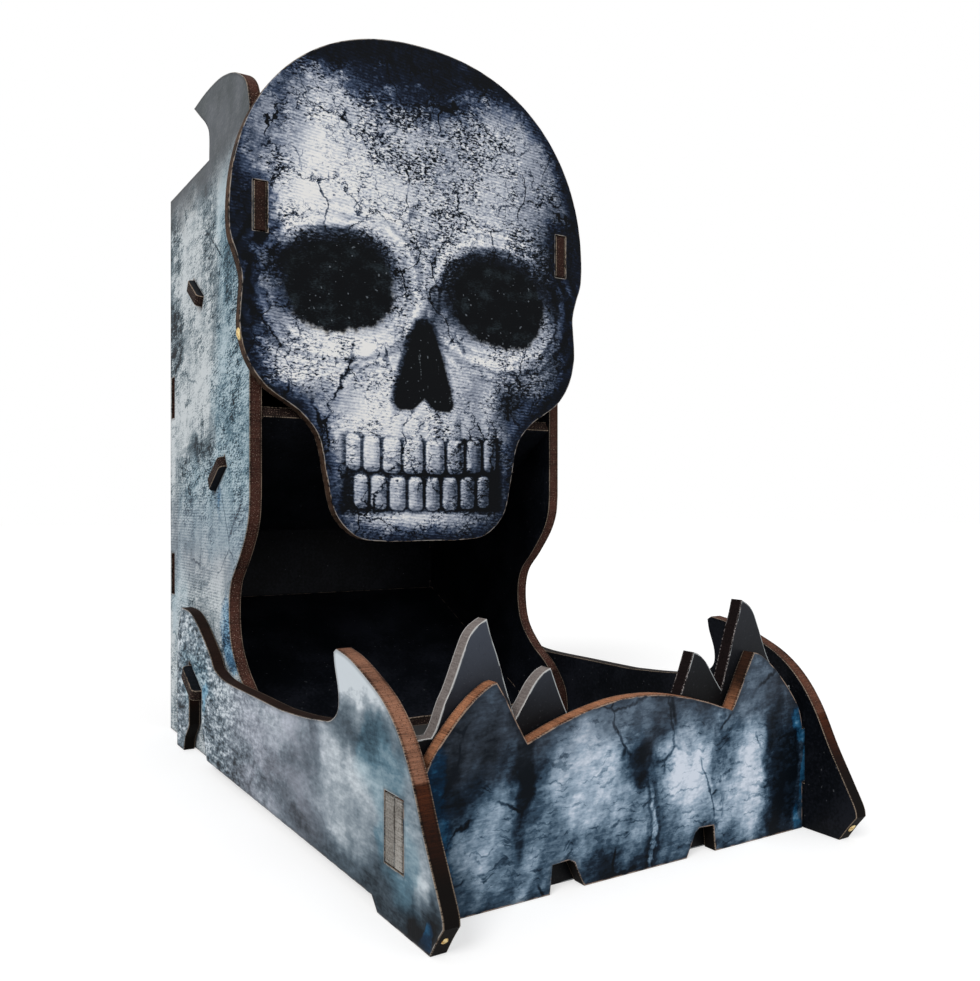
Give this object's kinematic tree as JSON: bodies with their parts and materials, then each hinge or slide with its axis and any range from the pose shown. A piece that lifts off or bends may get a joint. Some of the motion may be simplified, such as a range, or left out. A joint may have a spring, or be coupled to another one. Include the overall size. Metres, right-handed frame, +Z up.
{
  "type": "dice tower",
  "caption": "Dice tower of slotted flat sheets with sloping ramps inside, a skull-shaped front plate and a lift-off catch tray with spiked walls.",
  "frame": {"origin": "on the ground under the middle of the bounding box of the tower with its tray in place", "axes": "+Z up, -Y the way the skull and the tray's mouth face, +X to the viewer's right when facing the skull"},
  "size_m": [0.102, 0.1746, 0.1858],
  "materials": {
    "printed_side": "satin print on laser-cut fibreboard",
    "printed_skull": "satin print on laser-cut fibreboard",
    "printed_tray": "satin print on laser-cut fibreboard",
    "grey_sheet": "satin grey print on laser-cut fibreboard",
    "black_sheet": "satin black print on laser-cut fibreboard"
  },
  "bodies": {
    "tower": {"tower_side_left": "printed_side", "tower_side_right": "printed_side", "skull_front": "printed_skull", "back_panel": "black_sheet", "upper_ramp": "black_sheet", "middle_ramp": "black_sheet", "bottom_ramp": "black_sheet"},
    "tray": {"tray_side_left": "printed_tray", "tray_side_right": "printed_tray", "tray_front_wall": "printed_tray", "tray_spike_wall": "grey_sheet"}
  },
  "joints": [
    {"name": "tray_lift", "type": "slide", "parent": "tower", "child": "tray", "axis": [0, 0, 1], "range_m": [0, 0.03]}
  ]
}
